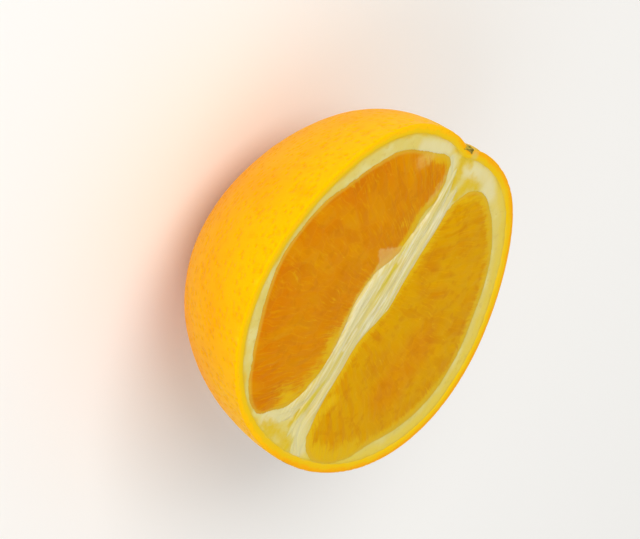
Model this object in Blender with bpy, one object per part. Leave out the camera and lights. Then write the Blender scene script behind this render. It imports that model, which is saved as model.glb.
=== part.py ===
# Half an orange, cut lengthwise through its stem and resting on its peel with the cut face up.
# Metres, +Z up. X runs along the core, from the stem end at -X to the blossom end at +X.
# The origin is on the surface that the fruit rests on, below the middle of its length and width.

import math

import bmesh
import bpy
from mathutils import Matrix, Vector

# The whole fruit, as a turned outline: a round of this radius with an egg's taper and a hollow stem end
FRUIT_RADIUS = 0.0386
TAPER = 0.0325
FLATTENING = 0.0075
SHOULDERS = 0.0355
STEM_HOLLOW_DEPTH = 0.0052
STEM_HOLLOW_ANGLE = math.radians(26)
DIMPLE_DEPTH = 0.0010
DIMPLE_ANGLE = math.radians(6)

# Below the knife's plane the fruit is less deep than it is wide: the share lost at its bottom, how much more
# that is towards the blossom end, and how much more towards both ends
UNDERSIDE_LOSS = 0.040
UNDERSIDE_LOSS_AT_BLOSSOM = 0.050
UNDERSIDE_LOSS_AT_ENDS = 0.070

# Creases that run out from the stem, and the slow unevenness of the peel between them
CREASE_COUNT = 9
CREASE_DEPTH = 0.00032
CREASE_REACH = math.radians(32)
UNEVENNESS = 0.00025

# The knife's plane is the fruit's middle, at this height once the peel has a small flat to rest on
CUT_HEIGHT = 0.0366
ZEST_THICKNESS = 0.0014
RIM_ROUNDING = 0.0004

# Facets of the peel: round its rim, and from the rim down to the bottom, closer by the stem and the rim
FACETS_ROUND = 92
FACETS_DOWN = 21
STEM_CROWDING = 1.35
RIM_CROWDING = 1.3

# The stem button: a small woody star with the stem's scar in its middle
BUTTON_RADIUS = 0.0021
BUTTON_THICKNESS = 0.0018
BUTTON_LOBES = 5
BUTTON_LOBE_DEPTH = 0.0003
SCAR_RADIUS = 0.0009
SCAR_DEPTH = 0.0004
BUTTON_SUNK = 0.0011
BUTTON_PROUD = 0.00015

# The flesh lies a little below the pith at its edge and swells a little above the cut in its middle
FLESH_EDGE_DROP = 0.0006
FLESH_CROWN = 0.0010
FLESH_DEPTH = 0.0040
POCKET_DEPTH = 0.0018
WALL_BITE = 0.0003
SAC_RELIEF = 0.00014
SAC_STREAKS = 30
SAC_LENGTH = 0.0040
OUTLINE_STEPS = 3

# Lobes of flesh on the cut face, each an outline of (x, y) about the fruit's middle
FAR_LOBE = (
    (-0.0286, 0.0110), (-0.0265, 0.0172), (-0.0220, 0.0228), (-0.0155, 0.0274), (-0.0075, 0.0304),
    (0.0025, 0.0326), (0.0115, 0.0316), (0.0190, 0.0274), (0.0250, 0.0214), (0.0300, 0.0166),
    (0.0325, 0.0115), (0.0326, 0.0066), (0.0302, 0.0028), (0.0250, 0.0006), (0.0150, 0.0005),
    (0.0080, 0.0008), (0.0030, 0.0022), (-0.0025, 0.0032), (-0.0110, 0.0037), (-0.0200, 0.0043),
    (-0.0256, 0.0060),
)
NEAR_LOBE = (
    (-0.0310, -0.0045), (-0.0290, -0.0019), (-0.0265, -0.0009), (-0.0230, -0.0012), (-0.0200, -0.0024),
    (-0.0120, -0.0024), (-0.0092, -0.0034), (-0.0062, -0.0056), (0.0000, -0.0066), (0.0055, -0.0063),
    (0.0110, -0.0050), (0.0170, -0.0049), (0.0225, -0.0066), (0.0262, -0.0098), (0.0282, -0.0132),
    (0.0297, -0.0160), (0.0290, -0.0190), (0.0265, -0.0224), (0.0215, -0.0262), (0.0150, -0.0298),
    (0.0080, -0.0330), (0.0020, -0.0344), (-0.0045, -0.0338), (-0.0115, -0.0312), (-0.0170, -0.0275),
    (-0.0230, -0.0228), (-0.0272, -0.0182), (-0.0292, -0.0130), (-0.0302, -0.0085),
)

# Strands of the white core, each (x, y, half width) from the stem end to the blossom end, its ends sunk
CORE_STRANDS = (
    ((-0.0300, 0.0032, 0.0006), (-0.0225, 0.0028, 0.0012), (-0.0140, 0.0021, 0.0014),
     (-0.0060, 0.0016, 0.0015), (-0.0005, 0.0014, 0.0018), (0.0045, 0.0002, 0.0013),
     (0.0090, -0.0008, 0.0010), (0.0160, -0.0010, 0.0012), (0.0230, -0.0010, 0.0013),
     (0.0285, 0.0004, 0.0011), (0.0325, 0.0022, 0.0006)),
    ((-0.0318, -0.0002, 0.0006), (-0.0240, 0.0006, 0.0012), (-0.0150, -0.0004, 0.0014),
     (-0.0070, -0.0010, 0.0020), (0.0005, -0.0022, 0.0022), (0.0070, -0.0026, 0.0016),
     (0.0140, -0.0028, 0.0012), (0.0210, -0.0031, 0.0012), (0.0270, -0.0036, 0.0013),
     (0.0320, -0.0040, 0.0007)),
    ((-0.0150, -0.0018, 0.0006), (-0.0095, -0.0022, 0.0012), (-0.0040, -0.0044, 0.0018),
     (0.0020, -0.0051, 0.0018), (0.0075, -0.0043, 0.0014), (0.0130, -0.0037, 0.0010),
     (0.0185, -0.0041, 0.0010), (0.0235, -0.0060, 0.0013), (0.0275, -0.0088, 0.0015),
     (0.0303, -0.0124, 0.0008)),
)
STRAND_FLATNESS = 0.5
STRAND_SIDES = 4

# A torn scrap of the film between two segments, lying on the near lobe against the core
SCRAP = ((-0.0118, -0.0022), (-0.0111, -0.0046), (-0.0098, -0.0076), (-0.0088, -0.0090), (-0.0080, -0.0086),
         (-0.0068, -0.0072), (-0.0050, -0.0060), (-0.0055, -0.0040), (-0.0080, -0.0020))
SCRAP_TOP = 0.0008
SCRAP_FALL = 0.05

SKIN_COLOUR = (0.95, 0.42, 0.02)
PITH_COLOUR = (0.80, 0.70, 0.36)
FLESH_COLOUR = (0.68, 0.28, 0.01)
BUTTON_COLOUR = (0.25, 0.20, 0.06)

MERGE_DISTANCE = 1e-6


def clear_scene():
    for thing in list(bpy.data.objects):
        bpy.data.objects.remove(thing)


def new_collection(name):
    group = bpy.data.collections.new(name)
    bpy.context.scene.collection.children.link(group)
    return group


def new_material(name, colour, roughness):
    material = bpy.data.materials.new(name)
    material.use_nodes = True
    shader = material.node_tree.nodes["Principled BSDF"]
    shader.inputs["Base Color"].default_value = (*colour, 1.0)
    shader.inputs["Roughness"].default_value = roughness
    shader.inputs["Metallic"].default_value = 0.0
    material.diffuse_color = (*colour, 1.0)
    return material


def add_object(name, bm, group, material):
    """A closed mesh from bm, all of one material."""
    mesh = bpy.data.meshes.new(name)
    bm.to_mesh(mesh)
    bm.free()
    mesh.materials.append(material)
    thing = bpy.data.objects.new(name, mesh)
    group.objects.link(thing)
    return thing


def apply_boolean(thing, operation, operand):
    """Joins or cuts thing by an object or a whole collection, keeping each face's own material."""
    modifier = thing.modifiers.new(operation.lower(), "BOOLEAN")
    modifier.operation = operation
    modifier.solver = "EXACT"
    modifier.material_mode = "TRANSFER"
    if isinstance(operand, bpy.types.Collection):
        modifier.operand_type = "COLLECTION"
        modifier.collection = operand
    else:
        modifier.object = operand
    evaluated = thing.evaluated_get(bpy.context.evaluated_depsgraph_get())
    joined = bpy.data.meshes.new_from_object(evaluated)
    thing.modifiers.remove(modifier)
    thing.data = joined


def fruit_reach(polar):
    """Distance from the fruit's middle to its peel, polar being the angle from the stem."""
    round_part = 1 + TAPER * math.cos(polar) + FLATTENING * math.cos(2 * polar)
    round_part += SHOULDERS * math.cos(3 * polar)
    hollow = STEM_HOLLOW_DEPTH * math.exp(-((polar / STEM_HOLLOW_ANGLE) ** 2))
    dimple = DIMPLE_DEPTH * math.exp(-((polar / DIMPLE_ANGLE) ** 2))
    return FRUIT_RADIUS * round_part - hollow - dimple


def peel_relief(polar, turn):
    """How far the peel departs from its turned form: creases by the stem, slow unevenness elsewhere."""
    fade_in = 1 - math.exp(-((polar / DIMPLE_ANGLE) ** 2))
    fade_out = math.exp(-((polar / CREASE_REACH) ** 2))
    creases = -CREASE_DEPTH * (0.5 + 0.5 * math.cos(CREASE_COUNT * turn)) ** 2 * fade_in * fade_out
    slow = math.sin(3 * turn + 2 * polar) + math.sin(5 * turn - 3 * polar)
    return creases + UNEVENNESS * math.sin(polar) ** 2 * slow


def underside_share(way):
    """What is left of the reach along a direction, below the knife's plane and above it alike."""
    loss = UNDERSIDE_LOSS + UNDERSIDE_LOSS_AT_BLOSSOM * way.x + UNDERSIDE_LOSS_AT_ENDS * way.x ** 2
    return 1 - loss * way.z ** 2


def make_fruit(group, material):
    """The whole fruit: a sphere with its equator in the knife's plane, moved out onto the peel."""
    bm = bmesh.new()
    bmesh.ops.create_uvsphere(bm, u_segments=FACETS_ROUND, v_segments=2 * FACETS_DOWN, radius=1.0)
    for vert in bm.verts:
        around = math.atan2(vert.co.y, -vert.co.x)
        around = math.copysign(math.pi * abs(around / math.pi) ** STEM_CROWDING, around)
        down = math.asin(max(-1.0, min(1.0, -vert.co.z)))
        down = math.copysign(math.pi / 2 * abs(2 * down / math.pi) ** RIM_CROWDING, down)
        way = Vector((-math.cos(around) * math.cos(down), math.sin(around) * math.cos(down), -math.sin(down)))
        polar = way.angle(Vector((-1, 0, 0)))
        turn = math.atan2(way.y, -way.z)
        vert.co = way * (fruit_reach(polar) + peel_relief(polar, turn)) * underside_share(way)
    bmesh.ops.recalc_face_normals(bm, faces=bm.faces)
    return add_object("fruit", bm, group, material)


def make_button(group, material):
    """The woody star at the stem, with the sunken scar that the stem left."""
    bm = bmesh.new()
    bmesh.ops.create_cone(bm, cap_ends=True, segments=40, radius1=BUTTON_RADIUS, radius2=BUTTON_RADIUS * 0.86,
                          depth=BUTTON_THICKNESS)
    top = max(bm.faces, key=lambda face: face.calc_center_median().z)
    bmesh.ops.inset_region(bm, faces=[top], thickness=BUTTON_RADIUS * 0.86 - SCAR_RADIUS, depth=0.0)
    bmesh.ops.inset_region(bm, faces=[top], thickness=SCAR_RADIUS * 0.35, depth=-SCAR_DEPTH)
    for vert in bm.verts:
        away = math.hypot(vert.co.x, vert.co.y)
        if away > SCAR_RADIUS * 1.1:
            turn = math.atan2(vert.co.y, vert.co.x)
            stretch = 1 + BUTTON_LOBE_DEPTH / BUTTON_RADIUS * math.cos(BUTTON_LOBES * turn)
            vert.co.x *= stretch
            vert.co.y *= stretch
    stem_x = -fruit_reach(0.0) + BUTTON_SUNK - BUTTON_THICKNESS / 2
    bm.transform(Matrix.Translation((stem_x, 0, 0)) @ Matrix.Rotation(-math.pi / 2, 4, "Y"))
    button = add_object("stem_button_blank", bm, group, material)
    slice_flat(button, BUTTON_PROUD, 1, 0)
    return button


def slice_flat(thing, height, outward, slot):
    """One straight stroke of the knife: drops what lies beyond the height and closes the cut."""
    bm = bmesh.new()
    bm.from_mesh(thing.data)
    parts = bm.verts[:] + bm.edges[:] + bm.faces[:]
    stroke = bmesh.ops.bisect_plane(bm, geom=parts, dist=MERGE_DISTANCE, plane_co=(0, 0, height),
                                    plane_no=(0, 0, outward), clear_outer=True)["geom_cut"]
    rim = [part for part in stroke if isinstance(part, bmesh.types.BMEdge)]
    for face in bmesh.ops.contextual_create(bm, geom=rim)["faces"]:
        face.material_index = slot
    bmesh.ops.recalc_face_normals(bm, faces=bm.faces)
    bm.to_mesh(thing.data)
    bm.free()


def outline_ring(points):
    """A smooth closed line through the points, as a list of vectors in order."""
    curve = bpy.data.curves.new("outline", "CURVE")
    curve.dimensions = "2D"
    curve.fill_mode = "NONE"
    curve.resolution_u = OUTLINE_STEPS
    spline = curve.splines.new("BEZIER")
    spline.bezier_points.add(len(points) - 1)
    for knot, (x, y) in zip(spline.bezier_points, points):
        knot.co = (x, y, 0)
        knot.handle_left_type = knot.handle_right_type = "AUTO"
    spline.use_cyclic_u = True
    holder = bpy.data.objects.new("outline", curve)
    bpy.context.scene.collection.objects.link(holder)
    evaluated = holder.evaluated_get(bpy.context.evaluated_depsgraph_get())
    ring = [vert.co.copy() for vert in bpy.data.meshes.new_from_object(evaluated).vertices]
    bpy.data.objects.remove(holder)
    bpy.data.curves.remove(curve)
    return ring


def ring_prism(bm, ring, low_z, high_z):
    """A straight prism on the ring, and returns its top face."""
    made = bmesh.ops.create_circle(bm, cap_ends=True, segments=len(ring), radius=1.0)
    bottom = made["verts"][0].link_faces[0]
    for loop, point in zip(bottom.loops, ring):
        loop.vert.co = (point.x, point.y, low_z)
    top = bmesh.ops.extrude_face_region(bm, geom=[bottom], use_keep_orig=True)
    lifted = [part for part in top["geom"] if isinstance(part, bmesh.types.BMVert)]
    bmesh.ops.translate(bm, verts=lifted, vec=(0, 0, high_z - low_z))
    return [part for part in top["geom"] if isinstance(part, bmesh.types.BMFace)][0]


def make_pocket(name, points, group, material):
    """The hollow in the pith that a lobe of flesh fills."""
    bm = bmesh.new()
    ring_prism(bm, outline_ring(points), -POCKET_DEPTH, POCKET_DEPTH)
    bmesh.ops.recalc_face_normals(bm, faces=bm.faces)
    return add_object(name, bm, group, material)


def swell(x, y, share):
    """Height of the flesh above the cut, share being 1 at the lobe's edge and 0 at its middle."""
    away = math.hypot(x, y)
    turn = math.atan2(y, x)
    fade_in = min(1.0, away / FRUIT_RADIUS) ** 2
    sacs = math.sin(SAC_STREAKS * turn + 2.5 * math.sin(away / SAC_LENGTH)) * fade_in
    return FLESH_CROWN * (1 - share ** 4) - FLESH_EDGE_DROP + SAC_RELIEF * sacs * (1 - share ** 8)


def make_lobe(name, points, group, material):
    """One lobe of flesh: a prism on its outline whose top is drawn in, ring by ring, to a low crown."""
    ring = outline_ring(points)
    middle = sum(ring, Vector()) / len(ring)
    wider = [middle + (point - middle) * (1 + WALL_BITE / (point - middle).length) for point in ring]
    bm = bmesh.new()
    top = ring_prism(bm, wider, -FLESH_DEPTH, -FLESH_EDGE_DROP)
    outer = [vert.co.copy() for vert in top.verts]
    for share in (0.975, 0.94, 0.88, 0.8, 0.68, 0.54, 0.38, 0.2):
        top = bmesh.ops.extrude_discrete_faces(bm, faces=[top])["faces"][0]
        for vert, start in zip(top.verts, outer):
            flat = middle + (start - middle) * share
            vert.co = (flat.x, flat.y, swell(flat.x, flat.y, share))
    bmesh.ops.poke(bm, faces=[top])
    bmesh.ops.recalc_face_normals(bm, faces=bm.faces)
    return add_object(name, bm, group, material)


def make_strand(name, path, group, material):
    """One strand of the core: a flattened cord whose width follows the path, half sunk in the cut."""
    curve = bpy.data.curves.new(name, "CURVE")
    curve.dimensions = "3D"
    curve.bevel_depth = 1.0
    curve.bevel_resolution = STRAND_SIDES // 2
    curve.resolution_u = 3
    curve.use_fill_caps = True
    spline = curve.splines.new("BEZIER")
    spline.bezier_points.add(len(path) - 1)
    for knot, (x, y, half_width) in zip(spline.bezier_points, path):
        knot.co = (x, y, 0)
        knot.radius = half_width
        knot.handle_left_type = knot.handle_right_type = "AUTO"
    for knot in (spline.bezier_points[0], spline.bezier_points[-1]):
        knot.co.z = -2.5 * knot.radius
    holder = bpy.data.objects.new(name, curve)
    bpy.context.scene.collection.objects.link(holder)
    evaluated = holder.evaluated_get(bpy.context.evaluated_depsgraph_get())
    bm = bmesh.new()
    bm.from_mesh(bpy.data.meshes.new_from_object(evaluated))
    bpy.data.objects.remove(holder)
    bpy.data.curves.remove(curve)
    bmesh.ops.remove_doubles(bm, verts=bm.verts, dist=MERGE_DISTANCE)
    bm.transform(Matrix.Diagonal((1.0, 1.0, STRAND_FLATNESS, 1.0)))
    bmesh.ops.recalc_face_normals(bm, faces=bm.faces)
    return add_object(name, bm, group, material)


def make_scrap(group, material):
    """The torn scrap of film: a thin patch whose top falls away from the core."""
    bm = bmesh.new()
    top = ring_prism(bm, [Vector((x, y, 0)) for x, y in SCRAP], -FLESH_EDGE_DROP * 2, SCRAP_TOP)
    for vert in top.verts:
        vert.co.z += (vert.co.y - SCRAP[0][1]) * SCRAP_FALL
    bmesh.ops.recalc_face_normals(bm, faces=bm.faces)
    return add_object("scrap", bm, group, material)


def dress_rim(thing, skin_slot):
    """Rounds the edge that the knife left and gives the cut its outer ring of coloured zest."""
    bm = bmesh.new()
    bm.from_mesh(thing.data)
    cut = max(bm.faces, key=lambda face: face.calc_center_median().z)
    outer = list(cut.verts)
    rounded = bmesh.ops.inset_region(bm, faces=[cut], thickness=RIM_ROUNDING * 0.3)["faces"]
    shoulder = list(cut.verts)
    rounded += bmesh.ops.inset_region(bm, faces=[cut], thickness=RIM_ROUNDING * 0.7)["faces"]
    bmesh.ops.translate(bm, verts=outer, vec=(0, 0, -RIM_ROUNDING))
    bmesh.ops.translate(bm, verts=shoulder, vec=(0, 0, -RIM_ROUNDING * 0.3))
    zest = bmesh.ops.inset_region(bm, faces=[cut], thickness=ZEST_THICKNESS - RIM_ROUNDING)["faces"]
    for face in rounded + zest:
        face.material_index = skin_slot
    bm.to_mesh(thing.data)
    bm.free()


def rest_on_floor(thing):
    """Stands the finished half on its flat, with the origin below the middle of its length and width."""
    across = [vert.co.x for vert in thing.data.vertices]
    deep = [vert.co.y for vert in thing.data.vertices]
    middle = ((min(across) + max(across)) / 2, (min(deep) + max(deep)) / 2)
    thing.data.transform(Matrix.Translation((-middle[0], -middle[1], CUT_HEIGHT)))
    thing.data.shade_smooth()
    thing.data.set_sharp_from_angle(angle=math.radians(40))


def main():
    clear_scene()
    pieces = new_collection("orange half")
    blanks = new_collection("cutters and blanks")

    skin = new_material("orange_skin", SKIN_COLOUR, 0.38)
    pith = new_material("pith", PITH_COLOUR, 0.70)
    flesh = new_material("flesh", FLESH_COLOUR, 0.25)
    wood = new_material("stem_button", BUTTON_COLOUR, 0.80)

    half = make_fruit(pieces, skin)
    half.name = "orange_half"
    half.data.materials.append(pith)
    slice_flat(half, 0.0, 1, 1)
    slice_flat(half, -CUT_HEIGHT, -1, 0)
    dress_rim(half, 0)

    apply_boolean(half, "DIFFERENCE", make_pocket("far_pocket", FAR_LOBE, blanks, pith))
    apply_boolean(half, "DIFFERENCE", make_pocket("near_pocket", NEAR_LOBE, blanks, pith))

    inside = new_collection("flesh and core")
    make_lobe("far_lobe", FAR_LOBE, inside, flesh)
    make_lobe("near_lobe", NEAR_LOBE, inside, flesh)
    for number, path in enumerate(CORE_STRANDS, start=1):
        make_strand(f"core_strand_{number}", path, inside, pith)
    make_scrap(inside, pith)
    make_button(inside, wood)
    apply_boolean(half, "UNION", inside)

    for thing in [*inside.objects, *blanks.objects]:
        bpy.data.objects.remove(thing)
    rest_on_floor(half)


main()
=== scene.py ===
import math

import bpy
import numpy as np
from mathutils import Matrix, Vector


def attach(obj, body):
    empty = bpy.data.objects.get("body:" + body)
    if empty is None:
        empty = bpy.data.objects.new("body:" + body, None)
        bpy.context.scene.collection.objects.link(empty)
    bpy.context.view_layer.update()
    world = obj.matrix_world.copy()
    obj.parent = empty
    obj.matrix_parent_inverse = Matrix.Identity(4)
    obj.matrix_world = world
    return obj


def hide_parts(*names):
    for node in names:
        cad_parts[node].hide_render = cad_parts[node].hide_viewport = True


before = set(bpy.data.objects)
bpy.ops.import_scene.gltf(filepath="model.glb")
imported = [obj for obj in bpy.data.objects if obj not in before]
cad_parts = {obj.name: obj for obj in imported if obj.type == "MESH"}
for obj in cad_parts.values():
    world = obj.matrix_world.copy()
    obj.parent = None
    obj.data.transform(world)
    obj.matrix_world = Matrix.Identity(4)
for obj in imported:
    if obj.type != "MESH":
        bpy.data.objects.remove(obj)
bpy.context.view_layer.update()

# The fruit's own middle lies in the plane of the cut, on the core; all lengths are in metres
fruit = {
    "middle": (-0.00005, -0.00029, 0.0366),
    "radius": 0.0386,
    "taper": 0.0325,
    "flattening": 0.0075,
    "shoulders": 0.0355,
    "hollowDepth": 0.0052,
    "hollowAngle": math.radians(26),
    "dimpleDepth": 0.0010,
    "dimpleAngle": math.radians(6),
    "undersideLoss": 0.040,
    "lossAtBlossom": 0.050,
    "lossAtEnds": 0.070,
    "creases": 9,
    "creaseDepth": 0.00032,
    "creaseReach": math.radians(32),
    "unevenness": 0.00025,
    "insideSolid": 0.00006,  # how far the fine surface stays within the CAD solid
    # Places about the middle where colours change: the lower near cheek, painted deeper orange as shade, the stem,
    # the blossom scar and the stem's ring
    "spots": {
        "shadedCheek": (0.0270, -0.0140, -0.0246),
        "stem": (-0.0322, 0.0, 0.0),
        "scar": (0.0362, 0.0, 0.0),
        "ring": (-0.0345, 0.0028, 0.0),
    },
}
middle = Vector(fruit["middle"])
plan = np.array(fruit["middle"][:2])


# sRGB hex text to the linear colour that the shaders take
def toLinear(hexText):
    channels = [int(hexText[i:i + 2], 16) / 255 for i in (1, 3, 5)]
    return (*[c / 12.92 if c <= 0.04045 else ((c + 0.055) / 1.055) ** 2.4 for c in channels], 1.0)


def deselectAll():
    if bpy.context.object and bpy.context.object.mode != "OBJECT":
        bpy.ops.object.mode_set(mode="OBJECT")
    bpy.ops.object.select_all(action="DESELECT")


def makeActive(piece):
    deselectAll()
    piece.select_set(True)
    bpy.context.view_layer.objects.active = piece


def nameNewest(name):
    piece = bpy.context.object
    piece.name = name
    piece.data.name = name
    return piece


def applyModifier(piece, kind, **settings):
    makeActive(piece)
    modifier = piece.modifiers.new(kind.lower(), kind)
    for name, value in settings.items():
        setattr(modifier, name, value)
    bpy.ops.object.modifier_apply(modifier=modifier.name)


def joinPieces(name, pieces):
    deselectAll()
    for piece in pieces:
        piece.select_set(True)
    bpy.context.view_layer.objects.active = pieces[0]
    if len(pieces) > 1:
        bpy.ops.object.join()
    return nameNewest(name)


def getPoints(piece):
    points = np.empty(len(piece.data.vertices) * 3)
    piece.data.vertices.foreach_get("co", points)
    return points.reshape(-1, 3)


def setPoints(piece, points):
    piece.data.vertices.foreach_set("co", np.ascontiguousarray(points, dtype=float).ravel())
    piece.data.update()


def storeValues(piece, **values):
    for name, numbers in values.items():
        layer = piece.data.attributes.new(name, "FLOAT", "POINT")
        layer.data.foreach_set("value", np.ascontiguousarray(numbers, dtype=np.float32))


def finishPiece(piece, material):
    makeActive(piece)
    bpy.ops.object.transform_apply(location=True, rotation=True, scale=True)
    bpy.ops.object.shade_smooth()
    piece.data.materials.clear()
    piece.data.materials.append(material)
    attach(piece, "root")
    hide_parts("orange_half")
    print(piece.name, "made of", len(piece.data.vertices), "points")
    return piece


# One node: its inputs by name or number, each a socket to link, a hex colour or a value, and its own settings
def addNode(tree, kind, inputs=None, output=0, **settings):
    node = tree.nodes.new(kind)
    for name, value in settings.items():
        setattr(node, name, value)
    for name, value in (inputs or {}).items():
        if isinstance(value, bpy.types.NodeSocket):
            tree.links.new(value, node.inputs[name])
        elif isinstance(value, str) and value.startswith("#"):
            node.inputs[name].default_value = toLinear(value)
        else:
            node.inputs[name].default_value = value
    return node.outputs[output] if node.outputs else node


def newMaterial(name, **sockets):
    material = bpy.data.materials.new(name)
    material.use_nodes = True
    shader = material.node_tree.nodes["Principled BSDF"]
    for socket, value in sockets.items():
        shader.inputs[socket.replace("_", " ")].default_value = value
    return material, material.node_tree, shader


# Paints colours over a ground, each where its pattern runs from a first to a last value, up to a share of 1
def paintLayers(tree, ground, layers):
    for colour, pattern, first, last, share in layers:
        mask = addNode(tree, "ShaderNodeMapRange",
                       {"Value": pattern, "From Min": first, "From Max": last, "To Max": share},
                       interpolation_type="SMOOTHSTEP")
        ground = addNode(tree, "ShaderNodeMix", {0: mask, 6: ground, 7: colour}, output=2, data_type="RGBA")
    return ground


# Adds up patterns, each less its level, times its height
def sumHeights(tree, parts):
    total = None
    for pattern, level, height in parts:
        lowered = addNode(tree, "ShaderNodeMath", {0: pattern, 1: level}, operation="SUBTRACT")
        scaled = addNode(tree, "ShaderNodeMath", {0: lowered, 1: height}, operation="MULTIPLY")
        if total is not None:
            scaled = addNode(tree, "ShaderNodeMath", {0: total, 1: scaled}, operation="ADD")
        total = scaled
    return total


# A geometry tree that moves a piece's points along their normals or straight up, by a height times some masks
def newReliefTree(name):
    tree = bpy.data.node_groups.new(name, "GeometryNodeTree")
    tree.interface.new_socket(name="Geometry", in_out="INPUT", socket_type="NodeSocketGeometry")
    tree.interface.new_socket(name="Geometry", in_out="OUTPUT", socket_type="NodeSocketGeometry")
    return tree, addNode(tree, "GeometryNodeInputPosition")


def applyRelief(piece, tree, height, masks=(), straightUp=False):
    for name in masks:
        mask = addNode(tree, "GeometryNodeInputNamedAttribute", {"Name": name}, data_type="FLOAT")
        height = addNode(tree, "ShaderNodeMath", {0: height, 1: mask}, operation="MULTIPLY")
    if straightUp:
        direction = addNode(tree, "ShaderNodeCombineXYZ", {"Z": 1.0})
    else:
        direction = addNode(tree, "GeometryNodeInputNormal")
    offset = addNode(tree, "ShaderNodeVectorMath", {0: direction, "Scale": height}, operation="SCALE")
    start = addNode(tree, "NodeGroupInput")
    moved = addNode(tree, "GeometryNodeSetPosition", {"Geometry": start, "Offset": offset})
    addNode(tree, "NodeGroupOutput", {"Geometry": moved})
    applyModifier(piece, "NODES", node_group=tree)
    bpy.data.node_groups.remove(tree)


# Distance from each point to a line through some points, open or closed
def lineDistance(points, line, closed=False):
    start = np.array(line, dtype=float)
    end = np.roll(start, -1, axis=0)
    if not closed:
        start, end = start[:-1], end[:-1]
    best = np.full(len(points), 1e9)
    for a, b in zip(start, end):
        along = b - a
        share = np.clip(((points - a) @ along) / (along @ along), 0, 1)
        best = np.minimum(best, ((points - a - share[:, None] * along) ** 2).sum(axis=1))
    return np.sqrt(best)


# The same for a closed line, positive inside it and negative outside
def insideDistance(points, ring):
    inside = np.zeros(len(points), dtype=bool)
    for a, b in zip(ring, np.roll(ring, -1, axis=0)):
        if a[1] != b[1]:
            crosses = (a[1] > points[:, 1]) != (b[1] > points[:, 1])
            inside ^= crosses & (points[:, 0] < (b[0] - a[0]) * (points[:, 1] - a[1]) / (b[1] - a[1]) + a[0])
    distance = lineDistance(points, ring, closed=True)
    return np.where(inside, distance, -distance)


def smoothStep(values, low, high):
    share = np.clip((values - low) / (high - low), 0, 1)
    return share * share * (3 - 2 * share)


# A smooth closed line through the points, from a curve with automatic handles
def smoothOutline(points, steps=12):
    deselectAll()
    curve = bpy.data.curves.new("outline", "CURVE")
    curve.dimensions = "2D"
    curve.fill_mode = "NONE"
    curve.resolution_u = steps
    spline = curve.splines.new("BEZIER")
    spline.bezier_points.add(len(points) - 1)
    for knot, (x, y) in zip(spline.bezier_points, points):
        knot.co = (x, y, 0)
        knot.handle_left_type = knot.handle_right_type = "AUTO"
    spline.use_cyclic_u = True
    holder = bpy.data.objects.new("outline", curve)
    bpy.context.scene.collection.objects.link(holder)
    makeActive(holder)
    bpy.ops.object.convert(target="MESH")
    ring = getPoints(holder)[:, :2].copy()
    bpy.data.objects.remove(holder)
    return ring


# A closed prism on a line, from a filled circle whose points are set on the line and extruded up
def prismOnLine(name, ring, top, bottom):
    bpy.ops.mesh.primitive_circle_add(vertices=len(ring), radius=1.0, fill_type="NGON", location=(0, 0, 0))
    prism = nameNewest(name)
    points = np.zeros((len(ring), 3))
    points[:, :2] = ring
    points[:, 2] = bottom
    setPoints(prism, points)
    bpy.ops.object.mode_set(mode="EDIT")
    bpy.ops.mesh.select_all(action="SELECT")
    bpy.ops.mesh.extrude_region_move(TRANSFORM_OT_translate={"value": (0, 0, top - bottom)})
    bpy.ops.mesh.select_all(action="SELECT")
    bpy.ops.mesh.normals_make_consistent(inside=False)
    bpy.ops.object.mode_set(mode="OBJECT")
    return prism


# The same line moved outwards by a distance
def widenLine(ring, distance):
    tangent = np.roll(ring, -1, axis=0) - np.roll(ring, 1, axis=0)
    normal = np.stack([tangent[:, 1], -tangent[:, 0]], axis=1)
    normal /= np.linalg.norm(normal, axis=1)[:, None]
    outward = np.sign(((ring - ring.mean(axis=0)) * normal).sum())
    return ring + normal * outward * distance


# Height of the highest of some pieces straight below a place on the cut
def heightOf(pieces, x, y):
    heights = [middle.z - 0.001]
    for piece in pieces:
        hit, place, _, _ = piece.ray_cast((x, y, middle.z + 0.02), (0, 0, -1))
        if hit:
            heights.append(place.z)
    return max(heights)


# The form of the peel, turned about the core and then drawn in below the knife's plane

def peelPoints(around, down, sink=0.0):
    way = np.stack([-np.cos(around) * np.cos(down), np.sin(around) * np.cos(down), -np.sin(down)], axis=-1)
    polar = np.arccos(np.clip(-way[..., 0], -1, 1))
    turn = np.arctan2(way[..., 1], -way[..., 2])
    reach = fruit["radius"] * (1 + fruit["taper"] * np.cos(polar) + fruit["flattening"] * np.cos(2 * polar)
                               + fruit["shoulders"] * np.cos(3 * polar))
    reach -= fruit["hollowDepth"] * np.exp(-((polar / fruit["hollowAngle"]) ** 2))
    fromDimple = np.exp(-((polar / fruit["dimpleAngle"]) ** 2))
    reach -= fruit["dimpleDepth"] * fromDimple
    creases = (0.5 + 0.5 * np.cos(fruit["creases"] * turn)) ** 2
    reach -= fruit["creaseDepth"] * creases * (1 - fromDimple) * np.exp(-((polar / fruit["creaseReach"]) ** 2))
    reach += fruit["unevenness"] * np.sin(polar) ** 2 * (np.sin(3 * turn + 2 * polar) + np.sin(5 * turn - 3 * polar))
    loss = fruit["undersideLoss"] + fruit["lossAtBlossom"] * way[..., 0] + fruit["lossAtEnds"] * way[..., 0] ** 2
    reach = reach * (1 - loss * way[..., 2] ** 2) - fruit["insideSolid"] - sink
    return way * reach[..., None] + np.array(fruit["middle"])


# The peel: a fine sphere moved onto that form, with rings left over above its equator for the cut zest

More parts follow.
